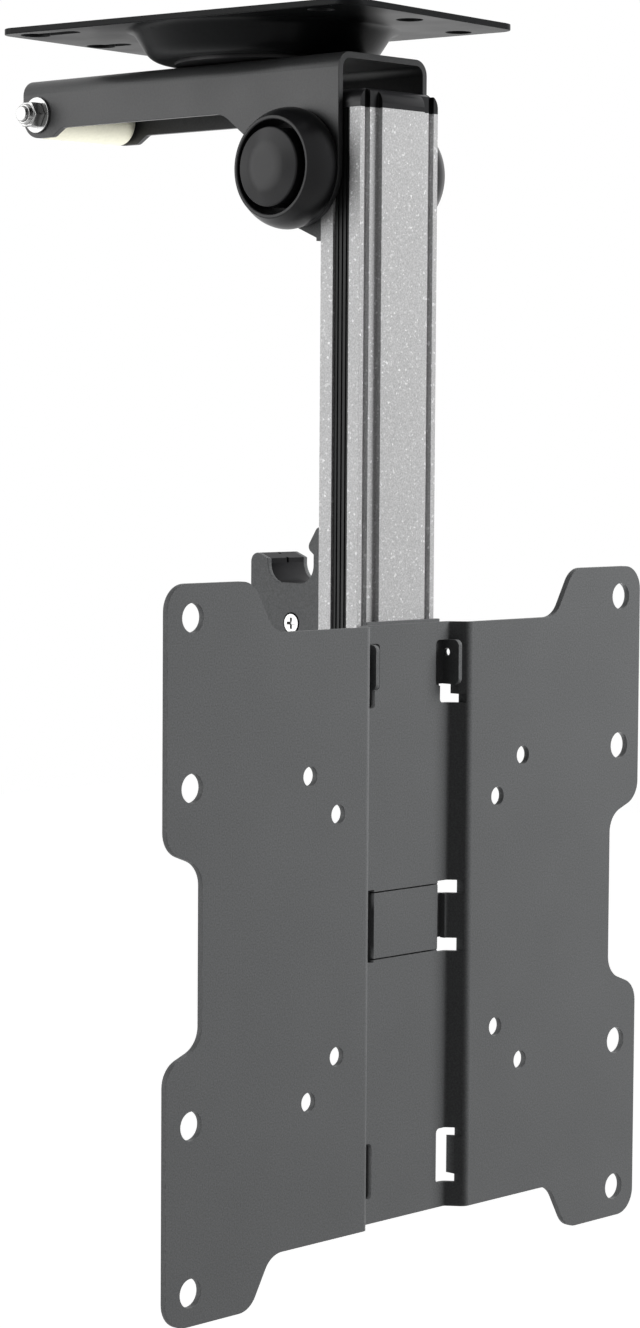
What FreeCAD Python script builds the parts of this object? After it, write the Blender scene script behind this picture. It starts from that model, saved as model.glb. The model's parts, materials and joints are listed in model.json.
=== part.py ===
import FreeCAD, Part
import os
import re
import Sketcher

# Ceiling mount for a flat screen, folding against a sloping roof.
# Millimetres. The origin is on the ceiling face, on the swivel axis. +Z is up, -Y is the screen side.

V = FreeCAD.Vector
doc = FreeCAD.newDocument("CeilingMount")
sheet = doc.addObject("Spreadsheet::Sheet", "Sizes")

SIZES = {
    # ceiling plate
    "plate_width": 88, "plate_length": 146, "plate_shift": 3.3, "plate_thickness": 2, "plate_corner": 6,
    "plate_turn": 5.5,
    "dome_mouth": 42.5, "dome_floor": 36, "dome_depth": 10, "dome_floor_round": 7, "dome_mouth_round": 4,
    "hole_side": 36, "hole_end": 52, "middle_hole_end": 59, "hole_radius": 4.2,
    "key_radius": 4.8, "key_slot_width": 5.2, "key_mouth_end": 66.5, "key_slot_length": 16,
    "middle_key_end": 70, "middle_slot_length": 10,
    # swivel
    "swivel_radius": 5, "swivel_head_radius": 9, "swivel_head_height": 5,
    "disc_radius": 28.5, "disc_thickness": 1, "running_gap": 0.1, "shaft_clearance": 0.05,
    "swivel_washer_radius": 13, "swivel_washer_thickness": 1.5,
    "swivel_nut_flats": 17, "swivel_nut_height": 8, "bolt_end": 2,
    # channel
    "channel_width": 41, "channel_thickness": 2, "channel_bend": 5, "flange_depth": 16.6,
    "hub_ahead": 35, "hub_below_top": 35.6, "lobe_radius": 18, "lobe_neck": 15, "lobe_shoulder": 8,
    "roller_behind": 85.8, "roller_below_top": 11.9, "lug_radius": 7.6, "lug_flat": 7, "lug_ramp": 5,
    "flange_round": 10, "lug_round": 3, "web_notch_width": 23, "web_notch_depth": 18,
    # hub
    "hinge_radius": 5, "hinge_head_flats": 17, "hinge_head_height": 6, "hinge_nut_height": 8,
    "hinge_washer_radius": 10.5, "hinge_washer_thickness": 1.5,
    "knob_base_radius": 18, "knob_belly_radius": 19.2, "knob_belly_height": 2.3,
    "knob_brow_radius": 18.6, "knob_brow_height": 7, "knob_brow_round": 12, "knob_rim_radius": 15.9, "knob_mouth_radius": 14.6,
    "knob_height": 11.5, "knob_floor": 2.6, "knob_shoulder_round": 6, "knob_rim_round": 0.6,
    "cap_radius": 12.4, "cap_wall": 1.6, "cap_height": 10, "cap_dome_rise": 2,
    # roller at the rear of the channel
    "roller_radius": 7.7, "roller_bolt_radius": 2.5, "roller_washer_radius": 6, "roller_washer_thickness": 1,
    "roller_nut_flats": 8, "roller_nut_height": 5.9, "roller_collar_radius": 3.3, "roller_head_height": 3.5,
    "roller_end_gap": 0.3, "roller_chamfer": 1,
    # extrusion
    "profile_to_hub": 8.5, "profile_width": 36, "profile_depth": 16.5, "profile_rise": 18.2,
    "profile_length": 213.5, "panel_width": 19.6, "panel_raise": 1.7,
    "front_groove_inner": 13.6, "front_groove_outer": 16, "front_groove_depth": 1.6,
    "side_groove_setback": 4.5, "side_groove_width": 6.8, "side_groove_depth": 3,
    "profile_wall": 2.2, "cavity_half_width": 12.4,
    "strip_sink": 0.8, "strip_clearance": 0.1, "strip_rib": 0.5,
    "top_cap_height": 6, "top_cap_round": 4.5, "bottom_cap_height": 3.5, "plug_length": 3,
    "plug_clearance": 0.2,
    # hinge bracket on the rear of the extrusion
    "hinge_sheet": 2.5, "ear_radius": 17.6, "hinge_drop": 22.5, "hinge_top": 17.5,
    "friction_washer_thickness": 1, "friction_washer_radius": 8.2,
    "hinge_screw_radius": 2.5, "hinge_screw_head_radius": 4.2, "hinge_screw_head_height": 2.2,
    "hinge_screw_side": 9, "hinge_screw_low": 17, "hinge_screw_high": 12.4, "hinge_screw_length": 7,
    # head bracket and screen plate
    "screen_below_hub": 236.3, "head_sheet": 1.8, "head_half_width": 17, "head_top": 95.2,
    "head_bottom": 88, "boss_half_width": 15, "boss_half_height": 10.3, "ear_half_height": 7,
    "hook_sheet": 1.6, "hook_half_width": 20.2, "hook_reach": 6.85, "hook_high": 88.6, "hook_low": 74.4,
    "hook_round": 2, "hook_hole_radius": 1.3, "hook_hole_high": 84.6, "hook_hole_reach": 1.7,
    "head_screw_radius": 2, "head_screw_flare": 1.7, "head_screw_side": 6, "head_screw_low": 55,
    "head_screw_high": 84, "head_screw_length": 9,
    "screen_sheet": 2, "screen_half_width": 110.3, "screen_half_height": 110, "screen_middle_half_height": 94.3,
    "screen_waist_half_width": 95.6, "tab_inner": 75, "tab_foot": 66, "waist_high": 32, "waist_low": 26.5,
    "screen_corner": 8, "recess_half_width": 23.5, "floor_half_width": 19.3, "recess_depth": 5.5,
    "bend_inner": 1, "pattern_large": 100, "pattern_middle": 50, "pattern_small": 37.5,
    "large_hole_radius": 4.4, "small_hole_radius": 3.05,
    "window_half_width": 18.5, "window_gap": 0.5, "window_corner_low": 7.2, "window_corner_high": 11.5,
    "slot_outer": 21.2, "slot_toe_outer": 22.8, "slot_toe": 2.8, "slot_inner": 15.3,
    "slot_wide_inner": 13.2, "slot_step": 74, "slot_low": 68.4, "slot_round": 1.5,
    "low_slot_high": 68.7, "low_slot_low": 86.5,
    # latch
    "seat_behind": 12.25, "seat_gap": 0.3, "notch_half_width": 10.15, "notch_round": 6,
    "horn_width": 7.6, "horn_lip": 7.6, "horn_crown": 9.3, "horn_crown_back": 4.5, "horn_round": 3,
    "finger_wall": 9.4, "barb_out": 2.9, "barb_rise": 11.5, "tip_back": 1.5, "tip_rise": 18.2,
    "finger_round": 2, "latch_gap": 0.8, "cheek_drop": 46, "cheek_back_drop": 17, "cheek_taper_drop": 30,
    "leg_drop": 55, "leg_width": 8, "leg_setback": 4, "leg_round": 3.9,
    "block_width": 15, "block_drop": 28, "block_gap": 0.4, "seam_width": 0.8, "seam_depth": 0.6,
    "cheek_thickness": 1.75, "guide_side_gap": 0.3, "guide_depth": 10.5, "guide_drop": 56,
    "guide_rise": 7, "guide_foot_length": 14, "guide_foot_thickness": 4,
    "latch_travel": 11, "pin_radius": 2, "pin_setback": 5.5, "pin_high_drop": 5, "pin_low_drop": 37,
    "pin_head": 0.6, "slot_clearance": 0.05,
    "guide_screw_radius": 2, "guide_screw_head_radius": 3.6, "guide_screw_head_height": 2.6,
    "guide_screw_low_drop": 26.5, "guide_screw_high_drop": -2, "guide_screw_length": 15,
    "latch_screw_radius": 1.5, "latch_screw_head_radius": 3, "latch_screw_head_height": 1.9,
    "latch_screw_hole": 3.5, "latch_screw_length": 6, "latch_screw_drop": 12.9, "cross_width": 0.9,
    "cross_length": 3.6, "cross_depth": 1,
    "bar_radius": 3.5, "bar_pin_radius": 2, "bar_rise": 5.5,
    "spring_radius": 4.8, "spring_wire": 0.6, "spring_turns": 6, "spring_setback": 7,
}

# Places worked out from the sizes. Each is written once and used by every piece that meets there.
PLACES = {
    "channel_top": "-(plate_thickness + dome_depth + disc_thickness + running_gap)",
    "web_under": "channel_top - channel_thickness",
    "flange_outer": "channel_width / 2",
    "flange_inner": "channel_width / 2 - channel_thickness",
    "hub_y": "-hub_ahead",
    "hub_z": "channel_top - hub_below_top",
    "roller_y": "roller_behind",
    "roller_z": "channel_top - roller_below_top",
    "flange_low": "channel_top - flange_depth",
    "channel_front": "hub_y - lobe_radius",
    "channel_rear": "roller_y + lug_radius",
    "profile_rear": "hub_y - profile_to_hub",
    "profile_front": "profile_rear - profile_depth",
    "panel_front": "profile_front - panel_raise",
    "profile_top": "hub_z + profile_rise",
    "profile_bottom": "profile_top - profile_length",
    "cavity_front": "profile_front + profile_wall",
    "cavity_rear": "profile_rear - profile_wall",
    "side_groove_front": "profile_front + side_groove_setback",
    "ear_outer": "flange_inner - running_gap - friction_washer_thickness",
    "screen_z": "hub_z - screen_below_hub",
    "head_front": "panel_front - head_sheet",
    "floor_front": "head_front - screen_sheet",
    "wing_front": "floor_front - recess_depth",
    "roller_reach": "sqrt((roller_y - hub_y) ^ 2 + (roller_z - hub_z) ^ 2)",
    "seat_y": "hub_y + seat_behind",
    "seat_z": "hub_z - sqrt(roller_reach ^ 2 - seat_behind ^ 2)",
    "notch_floor": "seat_z - roller_radius - seat_gap",
    "notch_front": "seat_y - notch_half_width",
    "notch_rear": "seat_y + notch_half_width",
    "horn_rear": "notch_rear + horn_width",
    "cheek_front": "profile_rear + latch_gap",
    "leg_rear": "horn_rear - leg_setback",
    "leg_front": "leg_rear - leg_width",
    "guide_rear": "profile_rear + guide_depth",
    "block_front": "guide_rear + block_gap",
    "block_low": "notch_floor - block_drop",
    "guide_low": "notch_floor - guide_drop",
    "pin_y": "profile_rear + pin_setback",
    "spring_y": "guide_rear + spring_setback",
    "latch_screw_y": "seat_y - 0.5",
}

NAMES = set(SIZES) | set(PLACES)
finished = []


def fill_sheet():
    """Write one plain number with one alias for each size."""
    for row, (name, number) in enumerate(SIZES.items(), 1):
        sheet.set(f"A{row}", name)
        sheet.set(f"B{row}", str(number))
        sheet.setAlias(f"B{row}", name)
    doc.recompute()


def formula(text):
    """Spell a size or place out as an expression of the sheet's cells."""
    def spell(match):
        name = match.group(0)
        if name in PLACES:
            return "(" + formula(PLACES[name]) + ")"
        return f"Sizes.{name}" if name in SIZES else name
    return re.sub(r"[a-z][a-z_0-9]+", spell, str(text))


def number(text):
    """Value of a size expression in millimetres or degrees."""
    result = sheet.evalExpression(formula(text))
    return float(getattr(result, "Value", result))


def bind(thing, **settings):
    """Set each property of a feature to an expression."""
    for name, text in settings.items():
        thing.setExpression(name.replace("__", "."), formula(text))


def new_body(label):
    body = doc.addObject("PartDesign::Body", label)
    body.Label = label
    return body


def plane(body, role):
    return next(f for f in body.Origin.OriginFeatures if f.Role == role)


def sketch_on(body, role, offset="0"):
    """Empty sketch on one of the body's own planes, moved along that plane's normal."""
    sketch = body.newObject("Sketcher::SketchObject", f"{body.Name}Sketch")
    sketch.AttachmentSupport = [(plane(body, role), "")]
    sketch.MapMode = "FlatFace"
    sketch.setExpression(".AttachmentOffset.Base.z", formula(offset))
    return sketch


def hold(sketch, index, point, place):
    """Tie one point of the sketch to its two coordinates."""
    for kind, text in zip(("DistanceX", "DistanceY"), place):
        tie = sketch.addConstraint(Sketcher.Constraint(kind, -1, 1, index, point, number(text)))
        sketch.setExpression(f"Constraints[{tie}]", formula(text))


def polygon(sketch, corners):
    """Closed outline with straight sides."""
    places = [V(number(x), number(y), 0) for x, y in corners]
    first = sketch.GeometryCount
    count = len(places)
    for i in range(count):
        sketch.addGeometry(Part.LineSegment(places[i], places[(i + 1) % count]), False)
    for i in range(count):
        sketch.addConstraint(Sketcher.Constraint("Coincident", first + i, 2, first + (i + 1) % count, 1))
    for i, corner in enumerate(corners):
        hold(sketch, first + i, 1, corner)
    return sketch


def rectangle(sketch, x_low, y_low, x_high, y_high):
    return polygon(sketch, [(x_low, y_low), (x_high, y_low), (x_high, y_high), (x_low, y_high)])


def circle(sketch, x, y, radius):
    index = sketch.addGeometry(Part.Circle(V(number(x), number(y), 0), V(0, 0, 1), number(radius)), False)
    hold(sketch, index, 3, (x, y))
    tie = sketch.addConstraint(Sketcher.Constraint("Radius", index, number(radius)))
    sketch.setExpression(f"Constraints[{tie}]", formula(radius))
    return sketch


def settle(feature):
    """Recompute and stop at the first feature that fails."""
    doc.recompute()
    if {"Invalid", "Error"} & set(feature.State):
        raise ValueError(f"{feature.Label}: {feature.getStatusString()}")
    return feature


def extrude(sketch, kind, length, back=False, middle=False):
    """Pad or pocket one sketch. A pocket has to remove material."""
    body = sketch.getParentGeoFeatureGroup()
    before = 0 if kind == "Pad" else body.Shape.Volume
    feature = body.newObject(f"PartDesign::{kind}", f"{body.Name}{kind}")
    feature.Profile = sketch
    feature.Reversed = back
    if hasattr(feature, "SideType") and middle:
        feature.SideType = "Symmetric"
    elif middle:
        feature.Midplane = True
    bind(feature, Length=length)
    settle(feature)
    if kind == "Pocket" and body.Shape.Volume > before - 1e-3:
        raise ValueError(f"{body.Label}: a pocket cuts nothing")
    return feature


def pad(sketch, length, back=False, middle=False):
    return extrude(sketch, "Pad", length, back, middle)


def pocket(sketch, length, back=False, middle=False):
    return extrude(sketch, "Pocket", length, back, middle)


def revolve(sketch, axis, kind="Revolution"):
    """Full turn of one sketch about its own axis H_Axis or V_Axis."""
    body = sketch.getParentGeoFeatureGroup()
    before = body.Shape.Volume if kind == "Groove" else 0
    feature = body.newObject(f"PartDesign::{kind}", f"{body.Name}{kind}")
    feature.Profile = sketch
    feature.ReferenceAxis = (sketch, [axis])
    feature.Angle = 360
    settle(feature)
    if kind == "Groove" and body.Shape.Volume > before - 1e-3:
        raise ValueError(f"{body.Label}: a groove cuts nothing")
    return feature


def edges_along(body, axis, places):
    """Names of the straight edges along an axis that pass through the given places."""
    spots = [(number(a), number(b)) for a, b in places]
    others = [i for i in range(3) if i != axis]
    found = []
    for index, edge in enumerate(body.Shape.Edges, 1):
        if edge.Curve.TypeId != "Part::GeomLine":
            continue
        ends = [v.Point for v in edge.Vertexes]
        if any(abs(ends[0][i] - ends[1][i]) > 1e-4 for i in others):
            continue
        if any(abs(ends[0][others[0]] - a) < 0.01 and abs(ends[0][others[1]] - b) < 0.01 for a, b in spots):
            found.append(f"Edge{index}")
    return found


def ring_edges(body, rings, axis=2):
    """Names of the round edges with the given radius and place along an axis."""
    wanted = [(number(r), number(h)) for r, h in rings]
    found = []
    for index, edge in enumerate(body.Shape.Edges, 1):
        curve = edge.Curve
        if curve.TypeId != "Part::GeomCircle" or abs(abs(curve.Axis[axis]) - 1) > 1e-6:
            continue
        if any(abs(curve.Radius - r) < 0.01 and abs(curve.Center[axis] - h) < 0.01 for r, h in wanted):
            found.append(f"Edge{index}")
    return found


def fillet(body, radius, edges):
    """Round the named edges of the body's tip."""
    if not edges:
        raise ValueError(f"{body.Label}: no edge to round")
    feature = body.newObject("PartDesign::Fillet", f"{body.Name}Fillet")
    feature.Base = (body.Tip if body.Tip != feature else feature.BaseFeature, edges)
    bind(feature, Radius=radius)
    return settle(feature)


def chamfer(body, size, edges):
    """Bevel the named edges of the body's tip."""
    feature = body.newObject("PartDesign::Chamfer", f"{body.Name}Chamfer")
    feature.Base = (body.Tip if body.Tip != feature else feature.BaseFeature, edges)
    bind(feature, Size=size)
    return settle(feature)


def finish(part, label=None):
    if label:
        part.Label = label
    finished.append(part)
    return part


TURNS = {
    "X": FreeCAD.Rotation(V(0, 1, 0), 90),
    "-X": FreeCAD.Rotation(V(0, 1, 0), -90),
    "Y": FreeCAD.Rotation(V(1, 0, 0), -90),
    "-Y": FreeCAD.Rotation(V(1, 0, 0), 90),
    "Z": FreeCAD.Rotation(),
    "-Z": FreeCAD.Rotation(V(1, 0, 0), 180),
}


def stand(thing, axis, place, turn=0):
    """Put a primitive's base at a place, with its height along an axis."""
    thing.Placement = FreeCAD.Placement(V(), TURNS[axis] * FreeCAD.Rotation(V(0, 0, 1), turn))
    x, y, z = place
    bind(thing, Placement__Base__x=x, Placement__Base__y=y, Placement__Base__z=z)
    return thing


def cylinder(axis, place, radius, height):
    thing = doc.addObject("Part::Cylinder", "Round")
    bind(thing, Radius=radius, Height=height)
    return stand(thing, axis, place)


def cone(axis, place, base_radius, end_radius, height):
    thing = doc.addObject("Part::Cone", "Cone")
    bind(thing, Radius1=base_radius, Radius2=end_radius, Height=height)
    return stand(thing, axis, place)


def hexagon(axis, place, flats, height, turn=0):
    """Six-sided prism given by the width across its flats."""
    thing = doc.addObject("Part::Prism", "Hexagon")
    thing.Polygon = 6
    bind(thing, Circumradius=f"({flats}) / sqrt(3)", Height=height)
    return stand(thing, axis, place, turn)


def box(x, y, z, length, width, height):
    thing = doc.addObject("Part::Box", "Block")
    bind(thing, Length=length, Width=width, Height=height)
    return stand(thing, "Z", (x, y, z))


def fuse(name, *parts):
    thing = doc.addObject("Part::MultiFuse", name)
    thing.Shapes = list(parts)
    return thing


def cut(name, base, *tools):
    thing = doc.addObject("Part::Cut", name)
    thing.Base = base
    thing.Tool = tools[0] if len(tools) == 1 else fuse(f"{name}Tools", *tools)
    return thing


def group(label, *parts):
    """Like pieces that share one node as separate solids."""
    thing = doc.addObject("Part::Compound", label)
    thing.Links = list(parts)
    return finish(thing)


def washer(label, axis, place, radius, bore, thickness):
    return cut(label, cylinder(axis, place, radius, thickness), cylinder(axis, place, bore, thickness))


def ceiling_plate():
    """Pressed sheet: flat rim with a round dome pushed down from its middle."""
    body = new_body("ceiling_plate")
    half_width, half_length = "plate_width / 2", "plate_length / 2"
    front, rear = f"plate_shift - {half_length}", f"plate_shift + {half_length}"
    rim = rectangle(sketch_on(body, "XY_Plane"), f"-{half_width}", front, half_width, rear)
    pad(rim, "plate_thickness", back=True)
    corners = [(f"{side}{half_width}", end) for side in ("", "-") for end in (front, rear)]
    fillet(body, "plate_corner", edges_along(body, 2, corners))
    floor = "-(plate_thickness + dome_depth)"
    bowl = [("0", "-plate_thickness / 2"), ("dome_mouth", "-plate_thickness / 2"),
            ("dome_mouth", "-plate_thickness"), ("dome_floor", floor), ("0", floor)]
    revolve(polygon(sketch_on(body, "XZ_Plane"), bowl), "V_Axis")
    fillet(body, "dome_floor_round", ring_edges(body, [("dome_floor", floor)]))
    fillet(body, "dome_mouth_round", ring_edges(body, [("dome_mouth", "-plate_thickness")]))
    inner_mouth, inner_floor = "(dome_mouth - plate_thickness)", "(dome_floor - plate_thickness)"
    hollow = [("0", "0"), (inner_mouth, "0"), (inner_floor, "-dome_depth"), ("0", "-dome_depth")]
    revolve(polygon(sketch_on(body, "XZ_Plane"), hollow), "V_Axis", "Groove")
    fillet(body, "dome_floor_round - plate_thickness", ring_edges(body, [(inner_floor, "-dome_depth")]))
    fillet(body, "dome_mouth_round + plate_thickness", ring_edges(body, [(inner_mouth, "0")]))
    holes = circle(sketch_on(body, "XY_Plane"), "0", "0", "swivel_radius + shaft_clearance")
    circle(holes, "0", "-middle_hole_end", "hole_radius")
    for side in ("-", ""):
        circle(holes, f"{side}hole_side", "-hole_end", "hole_radius")
    pocket(holes, "plate_thickness + dome_depth")
    keyholes(body)
    body.Placement = FreeCAD.Placement(V(), FreeCAD.Rotation(V(0, 0, 1), number("plate_turn")))
    bind(body, Placement__Rotation__Angle="plate_turn")
    return finish(body)


def keyholes(body):
    """Keyholes at the rear: a round mouth with a narrow slot towards the front."""
    spots = [("-hole_side", "key_mouth_end", "key_slot_length"), ("0", "middle_key_end", "middle_slot_length"),
             ("hole_side", "key_mouth_end", "key_slot_length")]
    mouths = sketch_on(body, "XY_Plane")
    slots = sketch_on(body, "XY_Plane")
    ends = sketch_on(body, "XY_Plane")
    for x, mouth_y, length in spots:
        end_y = f"{mouth_y} - {length}"
        circle(mouths, x, mouth_y, "key_radius")
        circle(ends, x, end_y, "key_slot_width / 2")
        rectangle(slots, f"{x} - key_slot_width / 2", end_y, f"{x} + key_slot_width / 2", mouth_y)
    for drawing in (mouths, ends, slots):
        pocket(drawing, "plate_thickness")


def swivel():
    """Bolt through dome and channel web, with the thin disc that carries the turn."""
    floor = "-dome_depth"
    shank = cylinder("-Z", ("0", "0", floor), "swivel_radius",
                     f"{floor} - channel_top + channel_thickness + running_gap"
                     " + swivel_washer_thickness + swivel_nut_height + bolt_end")
    head = cylinder("Z", ("0", "0", floor), "swivel_head_radius", "swivel_head_height")
    finish(fuse("swivel_bolt", shank, head), "swivel_bolt")
    bore = "swivel_radius + shaft_clearance"
    disc_top = "-(plate_thickness + dome_depth)"
    finish(washer("swivel_disc", "-Z", ("0", "0", disc_top), "disc_radius", bore, "disc_thickness"), "swivel_disc")
    seat = "web_under - running_gap"
    finish(washer("swivel_washer", "-Z", ("0", "0", seat), "swivel_washer_radius", bore,
                  "swivel_washer_thickness"), "swivel_washer")
    nut_top = ("0", "0", f"{seat} - swivel_washer_thickness")
    nut = cut("swivel_nut", hexagon("-Z", nut_top, "swivel_nut_flats", "swivel_nut_height"),
              cylinder("-Z", nut_top, "swivel_radius", "swivel_nut_height"))
    finish(nut, "swivel_nut")


def channel_bracket():
    """Folded sheet: web on top, two flanges with a round lobe in front and a lug at the rear."""
    body = new_body("channel_bracket")
    foot = "hub_z - lobe_radius"
    section = rectangle(sketch_on(body, "XZ_Plane", "-channel_front"),
                        "-flange_outer", foot, "flange_outer", "channel_top")
    pad(section, "channel_rear - channel_front", back=True)
    fillet(body, "channel_bend", edges_along(body, 1, [("-flange_outer", "channel_top"),
                                                      ("flange_outer", "channel_top")]))
    inside = rectangle(sketch_on(body, "XZ_Plane", "-channel_front"),
                       "-flange_inner", foot, "flange_inner", "web_under")
    pocket(inside, "channel_rear - channel_front")
    fillet(body, "channel_bend - channel_thickness",
           edges_along(body, 1, [("-flange_inner", "web_under"), ("flange_inner", "web_under")]))
    lobe_rear = "hub_y + lobe_radius"
    ramp_foot = "roller_y - lug_flat - lug_ramp"
    lug_low = "roller_z - lug_radius"
    neck_y = f"{lobe_rear} + lobe_neck"
    outline = [(lobe_rear, foot), (lobe_rear, "hub_z + lobe_shoulder"), (neck_y, "flange_low"),
               (ramp_foot, "flange_low"), ("roller_y - lug_flat", lug_low), ("channel_rear", lug_low),
               ("channel_rear", foot)]
    pocket(polygon(sketch_on(body, "YZ_Plane"), outline), "channel_width", middle=True)
    fillet(body, "lobe_radius - running_gap", edges_along(body, 0, [("channel_front", foot), (lobe_rear, foot)]))
    fillet(body, "flange_round", edges_along(body, 0, [(neck_y, "flange_low")]))
    fillet(body, "lug_radius - running_gap", edges_along(body, 0, [("channel_rear", lug_low)]))
    fillet(body, "lug_round", edges_along(body, 0, [(ramp_foot, "flange_low"), ("roller_y - lug_flat", lug_low)]))
    bores = circle(sketch_on(body, "YZ_Plane"), "hub_y", "hub_z", "hinge_radius + shaft_clearance")
    circle(bores, "roller_y", "roller_z", "roller_bolt_radius + shaft_clearance")
    pocket(bores, "channel_width", middle=True)
    pocket(circle(sketch_on(body, "XY_Plane", "channel_top"), "0", "0", "swivel_radius + shaft_clearance"),
           "channel_thickness")
    notch_half = "web_notch_width / 2"
    notch = rectangle(sketch_on(body, "XY_Plane", "channel_top"), f"-{notch_half}",
                      "channel_rear - web_notch_depth", notch_half, "channel_rear")
    pocket(notch, "channel_thickness")
    fillet(body, "lug_round", edges_along(body, 2, [(f"-{notch_half}", "channel_rear - web_notch_depth"),
                                                   (notch_half, "channel_rear - web_notch_depth")]))
    return finish(body)


def hub():
    """Hinge bolt across the channel, with a moulded knob over each end."""
    washer_face = "flange_outer + hinge_washer_thickness"
    start = f"-({washer_face})"
    shank = cylinder("X", (start, "hub_y", "hub_z"), "hinge_radius",
                     f"2 * ({washer_face}) + hinge_nut_height")
    head = hexagon("-X", (start, "hub_y", "hub_z"), "hinge_head_flats", "hinge_head_height")
    finish(fuse("hinge_bolt", shank, head), "hinge_bolt")
    nut_place = (washer_face, "hub_y", "hub_z")
    nut = cut("hinge_nut", hexagon("X", nut_place, "hinge_head_flats", "hinge_nut_height"),
              cylinder("X", nut_place, "hinge_radius", "hinge_nut_height"))
    finish(nut, "hinge_nut")
    bore = "hinge_radius + shaft_clearance"
    pair = [washer("HingeWasher", axis, (f"{sign}flange_outer", "hub_y", "hub_z"), "hinge_washer_radius",
                   bore, "hinge_washer_thickness") for sign, axis in (("-", "-X"), ("", "X"))]
    group("hinge_washers", *pair)
    for name, sign in (("left", "-"), ("right", "")):
        knob_ring(f"knob_ring_{name}", sign)
        knob_cap(f"knob_cap_{name}", sign)


def hub_sketch(body, sign, corners):
    """Section of a turned hub part: distance from the flange and radius about the hub axis."""
    sketch = sketch_on(body, "XY_Plane")
    return polygon(sketch, [(f"{sign}(flange_outer + {x})", r) for x, r in corners])


def seat_on_hub(body):
    """Carry a part that was turned about the X axis to the hub axis."""
    bind(body, Placement__Base__y="hub_y", Placement__Base__z="hub_z")
    return finish(body)


def knob_ring(label, sign):
    """Bulging outer ring with a deep open mouth."""
    body = new_body(label)
    inner = "hinge_washer_radius + running_gap"
    section = [("0", inner), ("0", "knob_base_radius"), ("knob_belly_height", "knob_belly_radius"),
               ("knob_brow_height", "knob_brow_radius"), ("knob_height", "knob_rim_radius"), ("knob_height", "knob_mouth_radius"),
               ("knob_floor", "knob_mouth_radius"), ("knob_floor", inner)]
    revolve(hub_sketch(body, sign, section), "H_Axis")
    belly = [("knob_belly_radius", f"{sign}(flange_outer + knob_belly_height)")]
    fillet(body, "knob_shoulder_round", ring_edges(body, belly, 0))
    brow = [("knob_brow_radius", f"{sign}(flange_outer + knob_brow_height)")]
    fillet(body, "knob_brow_round", ring_edges(body, brow, 0))
    rim = [("knob_rim_radius", f"{sign}(flange_outer + knob_height)"),
           ("knob_mouth_radius", f"{sign}(flange_outer + knob_height)")]
    fillet(body, "knob_rim_round", ring_edges(body, rim, 0))
    return seat_on_hub(body)


def knob_cap(label, sign):
    """Hollow domed cap that stands in the mouth of the ring and hides the bolt head."""
    body = new_body(label)
    top = "knob_floor + cap_height"
    outside = [("knob_floor", "0"), ("knob_floor", "cap_radius"), (top, "cap_radius"),
               (f"{top} + cap_dome_rise", "cap_radius / 2"), (f"{top} + cap_dome_rise", "0")]
    revolve(hub_sketch(body, sign, outside), "H_Axis")
    hollow = [("knob_floor", "0"), ("knob_floor", "cap_radius - cap_wall"), (top, "cap_radius - cap_wall"),
              (top, "0")]
    revolve(hub_sketch(body, sign, hollow), "H_Axis", "Groove")
    edge = [("cap_radius / 2", f"{sign}(flange_outer + {top} + cap_dome_rise)")]
    fillet(body, "cap_radius", ring_edges(body, edge, 0))
    fillet(body, "knob_rim_round", ring_edges(body, [("cap_radius", f"{sign}(flange_outer + {top})")], 0))
    return seat_on_hub(body)


def roller():
    """Plastic sleeve on a bolt between the lugs, where the latch hooks on."""
    body = new_body("latch_roller")
    half, bore = "(flange_inner - roller_end_gap)", "roller_bolt_radius + shaft_clearance"
    edge = "roller_radius - roller_chamfer"
    section = [(f"-{half}", bore), (f"-{half}", edge), (f"-{half} + roller_chamfer", "roller_radius"),
               (f"{half} - roller_chamfer", "roller_radius"), (half, edge), (half, bore)]
    revolve(polygon(sketch_on(body, "XY_Plane"), section), "H_Axis")
    bind(body, Placement__Base__y="roller_y", Placement__Base__z="roller_z")
    finish(body)
    face = "flange_outer + roller_washer_thickness"
    start = (f"-({face} + roller_nut_height + bolt_end / 2)", "roller_y", "roller_z")
    shank = cylinder("X", start, "roller_bolt_radius", f"2 * ({face}) + roller_nut_height + bolt_end / 2")
    head = hexagon("X", (face, "roller_y", "roller_z"), "roller_nut_flats", "roller_head_height", 30)
    finish(fuse("roller_bolt", shank, head), "roller_bolt")
    nut_place = (f"-({face})", "roller_y", "roller_z")
    collar = cylinder("-X", nut_place, "roller_collar_radius", "roller_nut_height")
    flats = hexagon("-X", nut_place, "roller_nut_flats", "roller_nut_height * 0.7", 30)
    nut = cut("roller_nut", fuse("RollerNutBlank", collar, flats),
              cylinder("-X", nut_place, "roller_bolt_radius", "roller_nut_height"))
    finish(nut, "roller_nut")
    pair = [washer("RollerWasher", axis, (f"{sign}flange_outer", "roller_y", "roller_z"),
                   "roller_washer_radius", bore, "roller_washer_thickness")
            for sign, axis in (("-", "-X"), ("", "X"))]
    group("roller_washers", *pair)


def mirrored(corners):
    """Right half of an outline followed by its mirror image, as one closed outline."""
    return corners + [(f"-({x})", y) for x, y in reversed(corners)]


def profile_outline(side_groove=True):
    """Section of the extrusion: raised panel, front grooves and side grooves."""
    half = "profile_width / 2"
    groove_back = "side_groove_front + side_groove_width"
    right = [("panel_width / 2", "panel_front"), ("panel_width / 2", "profile_front"),
             ("front_groove_inner", "profile_front"),
             ("front_groove_inner", "profile_front + front_groove_depth"),
             ("front_groove_outer", "profile_front + front_groove_depth"),
             ("front_groove_outer", "profile_front"), (half, "profile_front")]
    if side_groove:
        right += [(half, "side_groove_front"), (f"{half} - side_groove_depth", "side_groove_front"),
                  (f"{half} - side_groove_depth", groove_back), (half, groove_back)]
    return mirrored(right + [(half, "profile_rear")])


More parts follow.
